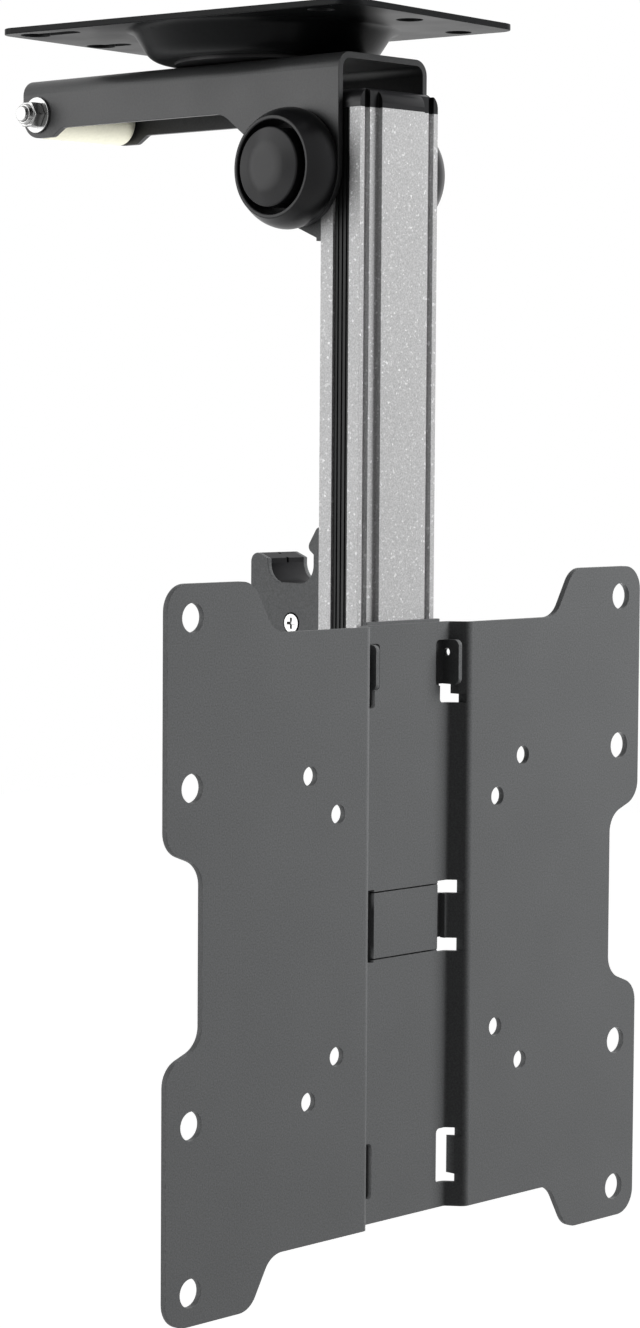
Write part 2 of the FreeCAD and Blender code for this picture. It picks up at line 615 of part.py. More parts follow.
def arm_profile():
    """Aluminium extrusion with a hollow core."""
    body = new_body("arm_profile")
    pad(polygon(sketch_on(body, "XY_Plane", "profile_bottom"), profile_outline()), "profile_length")
    core = rectangle(sketch_on(body, "XY_Plane", "profile_top"), "-cavity_half_width", "cavity_front",
                     "cavity_half_width", "cavity_rear")
    pocket(core, "profile_length")
    front = sketch_on(body, "XZ_Plane", "-panel_front")
    for side in ("-", ""):
        for height in ("head_screw_low", "head_screw_high"):
            circle(front, f"{side}head_screw_side", f"screen_z + {height}", "head_screw_radius")
    pocket(front, "panel_raise + profile_wall")
    rear = sketch_on(body, "XZ_Plane", "-profile_rear")
    for side in ("-", ""):
        circle(rear, f"{side}hinge_screw_side", "hub_z - hinge_screw_low", "hinge_screw_radius")
        circle(rear, f"{side}hinge_screw_side", "hub_z + hinge_screw_high", "hinge_screw_radius")
    for drop in ("guide_screw_low_drop", "guide_screw_high_drop"):
        circle(rear, "0", f"notch_floor - {drop}", "guide_screw_radius")
    pocket(rear, "profile_wall", back=True)
    return finish(body)


def side_strips():
    """Ribbed plastic strips set into the side grooves."""
    for name, sign in (("left", "-"), ("right", "")):
        body = new_body(f"side_strip_{name}")
        low, high = "side_groove_front + strip_clearance", "side_groove_front + side_groove_width - strip_clearance"
        root = "profile_width / 2 - side_groove_depth"
        face = "profile_width / 2 - strip_sink"
        strip = rectangle(sketch_on(body, "XY_Plane", "profile_bottom"), f"{sign}({root})", low,
                          f"{sign}({face} - strip_rib)", high)
        pad(strip, "profile_length")
        ribs = sketch_on(body, "XY_Plane", "profile_bottom")
        for share in ("1 / 8", "3 / 8", "5 / 8", "7 / 8"):
            middle = f"side_groove_front + side_groove_width * {share}"
            rectangle(ribs, f"{sign}({face} - strip_rib - strip_clearance)", f"{middle} - strip_rib",
                      f"{sign}({face})", f"{middle} + strip_rib")
        pad(ribs, "profile_length")
        finish(body)


def arm_caps():
    """Plastic end caps of the extrusion, each with a plug in the hollow core."""
    top = new_body("arm_top_cap")
    half = "profile_width / 2"
    block = rectangle(sketch_on(top, "XY_Plane", "profile_top"), f"-{half}", "panel_front", half, "profile_rear")
    pad(block, "top_cap_height")
    crown = "profile_top + top_cap_height"
    round_edges = edges_along(top, 0, [("panel_front", crown), ("profile_rear", crown)])
    round_edges += edges_along(top, 1, [(f"-{half}", crown), (half, crown)])
    fillet(top, "top_cap_round", round_edges)
    waste = sketch_on(top, "XY_Plane", "profile_top")
    for sign in ("-", ""):
        rectangle(waste, f"{sign}panel_width / 2", "panel_front - 1", f"{sign}({half} + 1)", "profile_front")
    pocket(waste, "top_cap_height", back=True)
    grooves = sketch_on(top, "XY_Plane", "profile_top")
    for sign in ("-", ""):
        rectangle(grooves, f"{sign}front_groove_inner", "profile_front - 1", f"{sign}front_groove_outer",
                  "profile_front + front_groove_depth")
    pocket(grooves, "top_cap_height", back=True)
    plug(top, "profile_top", True)
    finish(top)
    low = new_body("arm_bottom_cap")
    pad(polygon(sketch_on(low, "XY_Plane", "profile_bottom"), profile_outline(False)), "bottom_cap_height",
        back=True)
    plug(low, "profile_bottom", False)
    finish(low)


def plug(body, face, back):
    """Square plug that reaches into the core of the extrusion."""
    half = "(cavity_half_width - plug_clearance)"
    pad(rectangle(sketch_on(body, "XY_Plane", face), f"-{half}", "cavity_front + plug_clearance", half,
                  "cavity_rear - plug_clearance"), "plug_length", back=back)


def hinge_bracket():
    """Folded bracket on the rear of the extrusion, with one ear each side of the hub."""
    body = new_body("hinge_bracket")
    low, high = "hub_z - hinge_drop", "hub_z + hinge_top"
    web = rectangle(sketch_on(body, "XZ_Plane", "-profile_rear"), "-ear_outer", low, "ear_outer", high)
    pad(web, "hinge_sheet", back=True)
    lean = "(acos(ear_radius / sqrt(hinge_drop ^ 2 + profile_to_hub ^ 2)) - atan(profile_to_hub / hinge_drop))"
    touch = (f"hub_y + ear_radius * sin({lean})", f"hub_z - ear_radius * cos({lean})")
    ear = polygon(sketch_on(body, "YZ_Plane"),
                  [("profile_rear", low), touch, ("hub_y", "hub_z"), ("hub_y", high), ("profile_rear", high)])
    pad(ear, "2 * ear_outer", middle=True)
    pad(circle(sketch_on(body, "YZ_Plane"), "hub_y", "hub_z", "ear_radius"), "2 * ear_outer", middle=True)
    front = rectangle(sketch_on(body, "YZ_Plane"), "profile_rear - ear_radius", f"{low} - 1", "profile_rear",
                      f"{high} + 1")
    pocket(front, "2 * ear_outer", middle=True)
    inside = rectangle(sketch_on(body, "YZ_Plane"), "profile_rear + hinge_sheet", f"{low} - 1",
                       "hub_y + ear_radius + 1", f"{high} + 1")
    pocket(inside, "2 * (ear_outer - hinge_sheet)", middle=True)
    pocket(circle(sketch_on(body, "YZ_Plane"), "hub_y", "hub_z", "hinge_radius + shaft_clearance"),
           "2 * ear_outer", middle=True)
    holes = sketch_on(body, "XZ_Plane", "-profile_rear")
    places = []
    for side in ("-", ""):
        for height in ("hub_z - hinge_screw_low", "hub_z + hinge_screw_high"):
            places.append((f"{side}hinge_screw_side", height))
            circle(holes, f"{side}hinge_screw_side", height, "hinge_screw_radius")
    pocket(holes, "hinge_sheet", back=False)
    finish(body)
    seat = "profile_rear + hinge_sheet"
    screws = [fuse("HingeScrew",
                   cylinder("-Y", (x, seat, z), "hinge_screw_radius", "hinge_screw_length"),
                   cylinder("Y", (x, seat, z), "hinge_screw_head_radius", "hinge_screw_head_height"))
              for x, z in places]
    group("hinge_bracket_screws", *screws)
    bore = "hinge_radius + shaft_clearance"
    pair = [washer("FrictionWasher", axis, (f"{sign}ear_outer", "hub_y", "hub_z"), "friction_washer_radius",
                   bore, "friction_washer_thickness") for sign, axis in (("-", "-X"), ("", "X"))]
    group("friction_washers", *pair)


def head_bracket():
    """Folded sheet on the front of the extrusion. The screen plate hangs on its hooks."""
    body = new_body("head_bracket")
    web = rectangle(sketch_on(body, "XZ_Plane", "-head_front"), "-head_half_width", "screen_z - head_bottom",
                    "head_half_width", "screen_z + head_top")
    pad(web, "head_sheet", back=True)
    tip, rear = "head_front - hook_reach", "head_front + head_sheet"
    hooks = rectangle(sketch_on(body, "YZ_Plane"), tip, "screen_z + hook_low", rear, "screen_z + hook_high")
    pad(hooks, "2 * hook_half_width", middle=True)
    between = rectangle(sketch_on(body, "XZ_Plane", "-head_front"), "-(hook_half_width - hook_sheet)",
                        "screen_z + hook_low - 1", "hook_half_width - hook_sheet", "screen_z + hook_high + 1")
    pocket(between, "hook_reach + 1", back=True)
    fillet(body, "hook_round", edges_along(body, 0, [(tip, "screen_z + hook_low"), (tip, "screen_z + hook_high")]))
    eye = circle(sketch_on(body, "YZ_Plane"), "head_front - hook_hole_reach", "screen_z + hook_hole_high",
                 "hook_hole_radius")
    pocket(eye, "2 * hook_half_width", middle=True)
    ears = rectangle(sketch_on(body, "XZ_Plane", "-head_front"), "-hook_half_width", "screen_z - ear_half_height",
                     "hook_half_width", "screen_z + ear_half_height")
    pad(ears, "head_sheet", back=True)
    press_boss(body, rear)
    holes = sketch_on(body, "XZ_Plane", "-head_front")
    places = [(f"{side}head_screw_side", f"screen_z + {height}")
              for side in ("-", "") for height in ("head_screw_low", "head_screw_high")]
    for x, z in places:
        circle(holes, x, z, "head_screw_radius")
    pocket(holes, "head_sheet")
    mouths = ring_edges(body, [("head_screw_radius", "head_front")], 1)
    chamfer(body, "head_screw_flare", mouths)
    finish(body)
    screws = [fuse("HeadScrew",
                   cone("Y", (x, "head_front", z), "head_screw_radius + head_screw_flare", "head_screw_radius",
                        "head_screw_flare"),
                   cylinder("Y", (x, "head_front", z), "head_screw_radius", "head_screw_length"))
              for x, z in places]
    group("head_bracket_screws", *screws)


def press_boss(body, rear):
    """Raised boss that fills the window of the screen plate, hollow behind."""
    boss = rectangle(sketch_on(body, "XZ_Plane", "-head_front"), "-boss_half_width", "screen_z - boss_half_height",
                     "boss_half_width", "screen_z + boss_half_height")
    pad(boss, "screen_sheet")
    hollow = rectangle(sketch_on(body, "XZ_Plane", f"-({rear})"), "-(boss_half_width - head_sheet)",
                       "screen_z - boss_half_height + head_sheet", "boss_half_width - head_sheet",
                       "screen_z + boss_half_height - head_sheet")
    pocket(hollow, "screen_sheet", back=True)


def bend_shift():
    """How far a bend's outer corner stands off its inner corner, for the recess of the screen plate."""
    return "screen_sheet * tan(atan(recess_depth / (recess_half_width - floor_half_width)) / 2)"


def screen_plate():
    """Folded and pierced sheet that carries the screen."""
    body = new_body("vesa_plate")
    shift = bend_shift()
    floor_rear, wing_rear = "floor_front + screen_sheet", "wing_front + screen_sheet"
    front = [("floor_half_width", "floor_front"), ("recess_half_width", "wing_front"),
             ("screen_half_width", "wing_front"), ("screen_half_width", wing_rear),
             (f"recess_half_width + {shift}", wing_rear), (f"floor_half_width + {shift}", floor_rear)]
    section = mirrored(front)
    pad(polygon(sketch_on(body, "XY_Plane", "screen_z"), section), "2 * screen_half_height", middle=True)
    inner_bends = [(f"{s}recess_half_width", "wing_front") for s in ("", "-")]
    inner_bends += [(f"{s}(floor_half_width + {shift})", floor_rear) for s in ("", "-")]
    fillet(body, "bend_inner + screen_sheet", edges_along(body, 2, inner_bends))
    outer_bends = [(f"{s}(recess_half_width + {shift})", wing_rear) for s in ("", "-")]
    outer_bends += [(f"{s}floor_half_width", "floor_front") for s in ("", "-")]
    fillet(body, "bend_inner", edges_along(body, 2, outer_bends))
    trim_outline(body)
    pierce_slots(body)
    pierce_window(body)
    holes = sketch_on(body, "XZ_Plane", "-wing_front")
    for sx in ("", "-"):
        for sz in ("+", "-"):
            circle(holes, f"{sx}pattern_large", f"screen_z {sz} pattern_large", "large_hole_radius")
            circle(holes, f"{sx}pattern_large", f"screen_z {sz} pattern_middle", "large_hole_radius")
            circle(holes, f"{sx}pattern_middle", f"screen_z {sz} pattern_middle", "small_hole_radius")
            circle(holes, f"{sx}pattern_small", f"screen_z {sz} pattern_small", "small_hole_radius")
    pocket(holes, "screen_sheet")
    return finish(body)


def trim_outline(body):
    """Cut the sheet to its outline with four corner tabs and a waist on each side."""
    right = [("tab_foot", "screen_middle_half_height"), ("tab_inner", "screen_half_height"),
             ("screen_half_width", "screen_half_height"), ("screen_half_width", "waist_high"),
             ("screen_waist_half_width", "waist_low")]
    quarter_up = [(x, f"screen_z + {z}") for x, z in right]
    quarter_down = [(x, f"screen_z - {z}") for x, z in reversed(right)]
    outline = mirrored(quarter_up + quarter_down)
    waste = rectangle(sketch_on(body, "XZ_Plane", "-wing_front"), "-(screen_half_width + 5)",
                      "screen_z - screen_half_height - 5", "screen_half_width + 5",
                      "screen_z + screen_half_height + 5")
    polygon(waste, outline)
    pocket(waste, "recess_depth + screen_sheet")
    fillet(body, "screen_corner", edges_along(body, 1, outline))


def pierce_slots(body):
    """Slots in the bends of the recess. The hooks of the head bracket stand in the upper pair."""
    slots = sketch_on(body, "XZ_Plane", "-wing_front")
    toe, step = "screen_z + slot_low + slot_toe", "screen_z + slot_step"
    top, foot = "screen_z - low_slot_high", "screen_z - low_slot_low"
    for s in ("", "-"):
        polygon(slots, [(f"{s}slot_inner", "screen_z + slot_low"), (f"{s}slot_toe_outer", "screen_z + slot_low"),
                        (f"{s}slot_toe_outer", toe), (f"{s}slot_outer", toe),
                        (f"{s}slot_outer", "screen_z + hook_high"), (f"{s}slot_wide_inner", "screen_z + hook_high"),
                        (f"{s}slot_wide_inner", step), (f"{s}slot_inner", step)])
        polygon(slots, [(f"{s}slot_inner", foot), (f"{s}slot_toe_outer", foot),
                        (f"{s}slot_toe_outer", f"{foot} + slot_toe"), (f"{s}slot_outer", f"{foot} + slot_toe"),
                        (f"{s}slot_outer", f"{top} - slot_toe"), (f"{s}slot_toe_outer", f"{top} - slot_toe"),
                        (f"{s}slot_toe_outer", top), (f"{s}slot_inner", top)])
    pocket(slots, "recess_depth + screen_sheet")
    corners = [(f"{s}slot_wide_inner", z) for s in ("", "-") for z in ("screen_z + hook_high", step)]
    corners += [(f"{s}slot_inner", z) for s in ("", "-") for z in (top, foot, "screen_z + slot_low")]
    fillet(body, "slot_round", edges_along(body, 1, corners))


def pierce_window(body):
    """Window round the boss of the head bracket, opened further at each corner."""
    window = rectangle(sketch_on(body, "XZ_Plane", "-wing_front"), "-window_half_width",
                       "screen_z - boss_half_height - window_gap", "window_half_width",
                       "screen_z + boss_half_height + window_gap")
    pocket(window, "recess_depth + screen_sheet")
    corners = sketch_on(body, "XZ_Plane", "-wing_front")
    for s in ("", "-"):
        rectangle(corners, f"{s}boss_half_width", "screen_z + window_corner_low", f"{s}slot_toe_outer",
                  "screen_z + window_corner_high")
        rectangle(corners, f"{s}boss_half_width", "screen_z - window_corner_high", f"{s}slot_toe_outer",
                  "screen_z - window_corner_low")
    pocket(corners, "recess_depth + screen_sheet")


def horn_outline():
    """Rear half of the latch outline: notch wall, horn and tapered back, from the notch floor down."""
    return [("notch_rear", "notch_floor"), ("notch_rear", "notch_floor + horn_lip"),
            ("notch_rear + horn_crown_back", "notch_floor + horn_crown"),
            ("horn_rear", "notch_floor + horn_crown"), ("horn_rear", "notch_floor - cheek_back_drop"),
            ("leg_rear", "notch_floor - cheek_taper_drop")]


def latch_cheeks():
    """Steel cheeks with the open notch that hooks the roller."""
    finger = [("cheek_front", "notch_floor + tip_rise"), ("notch_front - tip_back", "notch_floor + tip_rise"),
              ("notch_front + barb_out", "notch_floor + barb_rise"),
              ("notch_front", "notch_floor + finger_wall"), ("notch_front", "notch_floor")]
    leg = [("leg_rear", "notch_floor - leg_drop"), ("leg_front", "notch_floor - leg_drop"),
           ("leg_front", "notch_floor - cheek_drop"), ("cheek_front", "notch_floor - cheek_drop")]
    for name, sign in (("left", "-"), ("right", "")):
        body = new_body(f"latch_cheek_{name}")
        outline = polygon(sketch_on(body, "YZ_Plane", f"{sign}block_width / 2"), finger + horn_outline() + leg)
        pad(outline, "cheek_thickness", back=sign == "-")
        fillet(body, "notch_round", edges_along(body, 0, [("notch_front", "notch_floor"),
                                                         ("notch_rear", "notch_floor")]))
        fillet(body, "finger_round", edges_along(body, 0, finger[1:3]))
        fillet(body, "horn_round", edges_along(body, 0, [("horn_rear", "notch_floor + horn_crown")]))
        fillet(body, "leg_round", edges_along(body, 0, leg[:2]))
        holes = circle(sketch_on(body, "YZ_Plane", f"{sign}block_width / 2"), "latch_screw_y",
                       "notch_floor - latch_screw_drop", "latch_screw_hole")
        for drop in ("pin_high_drop", "pin_low_drop"):
            circle(holes, "pin_y", f"notch_floor - {drop}", "pin_radius")
        circle(holes, "leg_rear - leg_width / 2", "notch_floor - leg_drop + bar_rise", "bar_pin_radius")
        pocket(holes, "cheek_thickness", back=sign == "")
        finish(body)


def latch_block():
    """Moulded block between the cheeks, with a seam down its middle."""
    body = new_body("latch_block")
    outline = [("block_front", "notch_floor")] + horn_outline() + [("leg_rear", "block_low"),
                                                                   ("block_front", "block_low")]
    pad(polygon(sketch_on(body, "YZ_Plane"), outline), "block_width", middle=True)
    fillet(body, "notch_round", edges_along(body, 0, [("notch_rear", "notch_floor")]))
    fillet(body, "horn_round", edges_along(body, 0, [("horn_rear", "notch_floor + horn_crown")]))
    seam = rectangle(sketch_on(body, "YZ_Plane", "seam_width / 2"), "notch_rear - 1", "notch_floor + notch_round",
                     "notch_rear + seam_depth", "notch_floor + horn_crown + 1")
    pocket(seam, "seam_width")
    top = rectangle(sketch_on(body, "YZ_Plane", "seam_width / 2"), "notch_rear - 1",
                    "notch_floor + horn_crown - seam_depth", "horn_rear - horn_round",
                    "notch_floor + horn_crown + 1")
    pocket(top, "seam_width")
    bores = circle(sketch_on(body, "YZ_Plane"), "latch_screw_y", "notch_floor - latch_screw_drop",
                   "latch_screw_radius")
    pocket(bores, "block_width", middle=True)
    return finish(body)


def latch_guide():
    """Upright rail on the rear of the extrusion, with slots for the pins and a foot for the spring."""
    body = new_body("latch_guide")
    half = "(block_width / 2 - guide_side_gap)"
    outline = [("profile_rear", "guide_low"), ("guide_rear + guide_foot_length", "guide_low"),
               ("guide_rear + guide_foot_length", "guide_low + guide_foot_thickness"),
               ("guide_rear", "guide_low + guide_foot_thickness"), ("guide_rear", "notch_floor + guide_rise"),
               ("profile_rear", "notch_floor + guide_rise")]
    pad(polygon(sketch_on(body, "YZ_Plane"), outline), f"2 * {half}", middle=True)
    reach = "(pin_radius + slot_clearance)"
    slots, ends = sketch_on(body, "YZ_Plane"), sketch_on(body, "YZ_Plane")
    for drop in ("pin_high_drop", "pin_low_drop"):
        rectangle(slots, f"pin_y - {reach}", f"notch_floor - {drop} - latch_travel", f"pin_y + {reach}",
                  f"notch_floor - {drop}")
        for low in ("0", "latch_travel"):
            circle(ends, "pin_y", f"notch_floor - {drop} - {low}", reach)
    for drawing in (slots, ends):
        pocket(drawing, f"2 * {half}", middle=True)
    heads, shanks = sketch_on(body, "XZ_Plane", "-guide_rear"), sketch_on(body, "XZ_Plane", "-guide_rear")
    drops = ("guide_screw_low_drop", "guide_screw_high_drop")
    for drop in drops:
        circle(heads, "0", f"notch_floor - {drop}", "guide_screw_head_radius + shaft_clearance")
        circle(shanks, "0", f"notch_floor - {drop}", "guide_screw_radius")
    pocket(heads, "guide_screw_head_height", back=True)
    pocket(shanks, "guide_depth", back=True)
    finish(body)
    seat = "guide_rear - guide_screw_head_height"
    screws = [fuse("GuideScrew",
                   cylinder("-Y", ("0", seat, f"notch_floor - {drop}"), "guide_screw_radius",
                            "guide_screw_length - guide_screw_head_height"),
                   cylinder("Y", ("0", seat, f"notch_floor - {drop}"), "guide_screw_head_radius",
                            "guide_screw_head_height"))
              for drop in drops]
    group("latch_guide_screws", *screws)


def latch_pins():
    """Two riveted pins across the cheeks, and the grip bar at their lower end."""
    face = "block_width / 2 + cheek_thickness"
    pins = [cylinder("X", (f"-({face} + pin_head)", "pin_y", f"notch_floor - {drop}"), "pin_radius",
                     f"2 * ({face} + pin_head)") for drop in ("pin_high_drop", "pin_low_drop")]
    group("latch_pins", *pins)
    y, z = "leg_rear - leg_width / 2", "notch_floor - leg_drop + bar_rise"
    bar = fuse("release_bar", cylinder("X", ("-block_width / 2", y, z), "bar_radius", "block_width"),
               cylinder("X", (f"-({face})", y, z), "bar_pin_radius", f"2 * ({face})"))
    finish(bar, "release_bar")


def latch_screws():
    """Cross-headed screws in the cheeks' round openings."""
    screws = []
    y, z = "latch_screw_y", "notch_floor - latch_screw_drop"
    for sign, axis in (("-", "X"), ("", "-X")):
        start = f"{sign}block_width / 2"
        outer = "-X" if sign == "-" else "X"
        blank = fuse("LatchScrewBlank", cylinder(axis, (start, y, z), "latch_screw_radius", "latch_screw_length"),
                     cylinder(outer, (start, y, z), "latch_screw_head_radius", "latch_screw_head_height"))
        far = "block_width / 2 + latch_screw_head_height"
        low = f"-({far})" if sign == "-" else f"{far} - cross_depth"
        upright = box(low, f"{y} - cross_width / 2", f"{z} - cross_length / 2", "cross_depth", "cross_width",
                      "cross_length")
        level = box(low, f"{y} - cross_length / 2", f"{z} - cross_width / 2", "cross_depth", "cross_length",
                    "cross_width")
        screws.append(cut("LatchScrew", blank, upright, level))
    group("latch_screws", *screws)


def latch_spring():
    """Coil spring between the foot of the guide and the underside of the block."""
    wire, radius = number("spring_wire"), number("spring_radius")
    low = number("guide_low + guide_foot_thickness") + wire
    high = number("block_low") - wire
    helix = Part.makeHelix((high - low) / number("spring_turns"), high - low, radius)
    section = Part.Wire(Part.makeCircle(wire, V(radius, 0, 0), V(0, 1, 0)))
    coil = Part.Wire(helix).makePipeShell([section], True, True)
    spring = doc.addObject("Part::Feature", "latch_spring")
    spring.Shape = coil
    spring.Placement = FreeCAD.Placement(V(0, number("spring_y"), low), FreeCAD.Rotation())
    return finish(spring)


def check_and_export():
    """Write each piece only if every feature and every shape is sound."""
    doc.recompute()
    failed = [o.Label for o in doc.Objects if {"Invalid", "Error"} & set(o.State)]
    if failed:
        raise ValueError("failed features: " + ", ".join(failed))
    for piece in finished:
        if piece.Shape.isNull() or not piece.Shape.isValid():
            raise ValueError(f"{piece.Label}: bad shape")
    os.makedirs("parts", exist_ok=True)
    for piece in finished:
        piece.Shape.exportStep(os.path.join("parts", f"{piece.Label}.step"))
        print(piece.Label, len(piece.Shape.Solids), round(piece.Shape.Volume, 1))
    closed = "90 deg + atan((roller_z - hub_z) / (roller_y - hub_y)) - asin(seat_behind / roller_reach)"
    print("pieces", len(finished), "closed fold", round(number(closed), 3))


fill_sheet()
ceiling_plate()
swivel()
channel_bracket()
hub()
roller()
arm_profile()
side_strips()
arm_caps()
hinge_bracket()
head_bracket()
screen_plate()
latch_cheeks()
latch_block()
latch_guide()
latch_pins()
latch_screws()
latch_spring()
check_and_export()
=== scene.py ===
"""Looks of the TV ceiling mount: camera, finishes, edges, spring and studio for the nodes of the frame."""

import bpy
import json
import math
from mathutils import Matrix, Vector


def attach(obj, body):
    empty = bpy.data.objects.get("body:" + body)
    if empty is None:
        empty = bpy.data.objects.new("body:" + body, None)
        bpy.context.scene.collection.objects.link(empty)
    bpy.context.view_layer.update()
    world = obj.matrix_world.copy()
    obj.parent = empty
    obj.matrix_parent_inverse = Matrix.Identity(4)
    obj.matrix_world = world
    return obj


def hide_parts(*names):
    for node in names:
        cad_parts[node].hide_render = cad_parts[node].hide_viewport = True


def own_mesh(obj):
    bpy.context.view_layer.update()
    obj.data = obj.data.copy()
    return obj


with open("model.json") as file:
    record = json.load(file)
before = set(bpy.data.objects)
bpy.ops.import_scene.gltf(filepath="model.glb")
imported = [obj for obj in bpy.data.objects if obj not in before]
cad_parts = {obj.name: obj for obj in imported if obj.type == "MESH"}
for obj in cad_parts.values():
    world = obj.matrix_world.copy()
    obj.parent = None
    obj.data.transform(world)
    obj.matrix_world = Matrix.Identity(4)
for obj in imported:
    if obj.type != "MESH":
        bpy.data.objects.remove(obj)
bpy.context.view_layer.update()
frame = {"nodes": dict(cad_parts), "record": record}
NODES = frame["nodes"]
scene = bpy.context.scene
MM = 0.001
WHITE = (1, 1, 1, 1)


# Camera, solved from the holes of the screen plate. The sensor is in millimetres

CAMERA_PLACE = Vector((-0.7842, -0.7702, -0.1297))
CAMERA_TURN = math.radians(46.55)
CAMERA_PITCH = math.radians(-4.01)
CAMERA_ROLL = math.radians(0.38)
IMAGE_HEIGHT = 1328
FOCAL_PIXELS = 3360.1
SENSOR_HEIGHT = 36
NEAREST_SEEN = 0.01


def make_camera():
    """Camera at the photographed place, angle and field of view."""
    data = bpy.data.cameras.new("camera")
    data.sensor_fit = "VERTICAL"
    data.sensor_height = SENSOR_HEIGHT
    data.lens = SENSOR_HEIGHT * FOCAL_PIXELS / IMAGE_HEIGHT
    data.clip_start = NEAREST_SEEN
    camera = bpy.data.objects.new("camera", data)
    scene.collection.objects.link(camera)
    level = math.cos(CAMERA_PITCH)
    ahead = Vector((
        math.sin(CAMERA_TURN) * level,
        math.cos(CAMERA_TURN) * level,
        math.sin(CAMERA_PITCH),
    ))
    right = Vector((math.cos(CAMERA_TURN), -math.sin(CAMERA_TURN), 0))
    up = right.cross(ahead)
    cos_roll = math.cos(CAMERA_ROLL)
    sin_roll = math.sin(CAMERA_ROLL)
    axes = (right * cos_roll + up * sin_roll, up * cos_roll - right * sin_roll, -ahead)
    turn = Matrix(axes).transposed().to_4x4()
    camera.matrix_world = Matrix.Translation(CAMERA_PLACE) @ turn
    scene.camera = camera


# Shader nodes

def new_material(name):
    """New finish, with its node tree and its shader node."""
    made = bpy.data.materials.new(name)
    made.use_nodes = True
    return made, made.node_tree, made.node_tree.nodes["Principled BSDF"]


def object_place(tree):
    """Place in the object's own axes."""
    return tree.nodes.new("ShaderNodeTexCoord").outputs["Object"]


def noise(tree, scale, detail):
    """Noise that stays fixed on the object."""
    node = tree.nodes.new("ShaderNodeTexNoise")
    node.inputs["Scale"].default_value = scale
    node.inputs["Detail"].default_value = detail
    tree.links.new(object_place(tree), node.inputs["Vector"])
    return node.outputs["Fac"]


def grey(level):
    return (level, level, level)


def ramp(tree, source, span, low, high):
    """Colour that goes from low to high while the source goes over the span."""
    node = tree.nodes.new("ShaderNodeValToRGB")
    for element, position, colour in zip(node.color_ramp.elements, span, (low, high)):
        element.position = position
        element.color = (*colour, 1)
    tree.links.new(source, node.inputs["Fac"])
    return node.outputs["Color"]


def blend(tree, operation, first, second):
    """Two colours put together in full by a named operation."""
    node = tree.nodes.new("ShaderNodeMix")
    node.data_type = "RGBA"
    node.blend_type = operation
    node.inputs["Factor"].default_value = 1
    tree.links.new(first, node.inputs["A"])
    tree.links.new(second, node.inputs["B"])
    return node.outputs["Result"]


def calculate(tree, operation, first, second):
    """Two numbers put together by a named operation."""
    node = tree.nodes.new("ShaderNodeMath")
    node.operation = operation
    tree.links.new(first, node.inputs[0])
    tree.links.new(second, node.inputs[1])
    return node.outputs[0]


def backdrop_rays(tree):
    """One for rays from the camera and for mirrored or refracted rays, otherwise nought."""
    path = tree.nodes.new("ShaderNodeLightPath").outputs
    seen = calculate(tree, "MAXIMUM", path["Is Camera Ray"], path["Is Glossy Ray"])
    return calculate(tree, "MAXIMUM", seen, path["Is Transmission Ray"])


# Finishes

GRAIN_DETAIL = 2.0
GRAIN_SPAN = (0.3, 0.7)
GRAIN_HEIGHT = 0.06 * MM
CLOUD_SCALE = 40.0
CLOUD_DETAIL = 3.0
CLOUD_SPAN = (0.25, 0.75)
CLOUD_SHADE = 0.93
GLOSS_SPAN = (0.3, 0.7)
GLOSS_DRIFT = 0.04

FINISHES = {
    "plate_grey": dict(
        colour=(0.126, 0.1286, 0.1307), roughness=0.5, specular=0.07,
        grain=2000, grain_depth=0.4, spread=0.17),
    "channel_grey": dict(
        colour=(0.04, 0.0407, 0.0417), roughness=0.4, specular=0.25,
        grain=1700, grain_depth=0.3, spread=0.14),
    "gloss_black": dict(
        colour=(0.009, 0.0095, 0.01), roughness=0.32, specular=0.05,
        grain=700, grain_depth=0.05),
    "extrusion": dict(
        colour=(0.48, 0.48, 0.483), roughness=0.6, metallic=0.2,
        grain=1900, grain_depth=0.4, spread=0.2),
    "black_plastic": dict(
        colour=(0.012, 0.012, 0.013), roughness=0.33, specular=0.17,
        grain=2200, grain_depth=0.12),
    "strip_plastic": dict(
        colour=(0.02, 0.021, 0.021), roughness=0.5, specular=0.15,
        grain=1500, grain_depth=0.2),
    "latch_black": dict(
        colour=(0.015, 0.015, 0.016), roughness=0.42, specular=0.1,
        grain=1900, grain_depth=0.2),
    "zinc": dict(
        colour=(0.3, 0.3, 0.298), roughness=0.26, metallic=0.95,
        grain=1200, grain_depth=0.15),
    "disc_plastic": dict(
        colour=(0.4, 0.4, 0.41), roughness=0.45,
        grain=1500),
    "cream_plastic": dict(
        colour=(0.93, 0.91, 0.74), roughness=0.35,
        grain=900, grain_depth=0.08, spread=0.03),
    "spring_steel": dict(
        colour=(0.35, 0.35, 0.36), roughness=0.3, metallic=0.9,
        grain=1500),
}

# Painted glints: bright specks put into the base colour in place of the sparkle of blasted aluminium
PAINTED_GLINTS = {
    "extrusion": dict(scale=1500, share=0.22, boost=0.4),
}


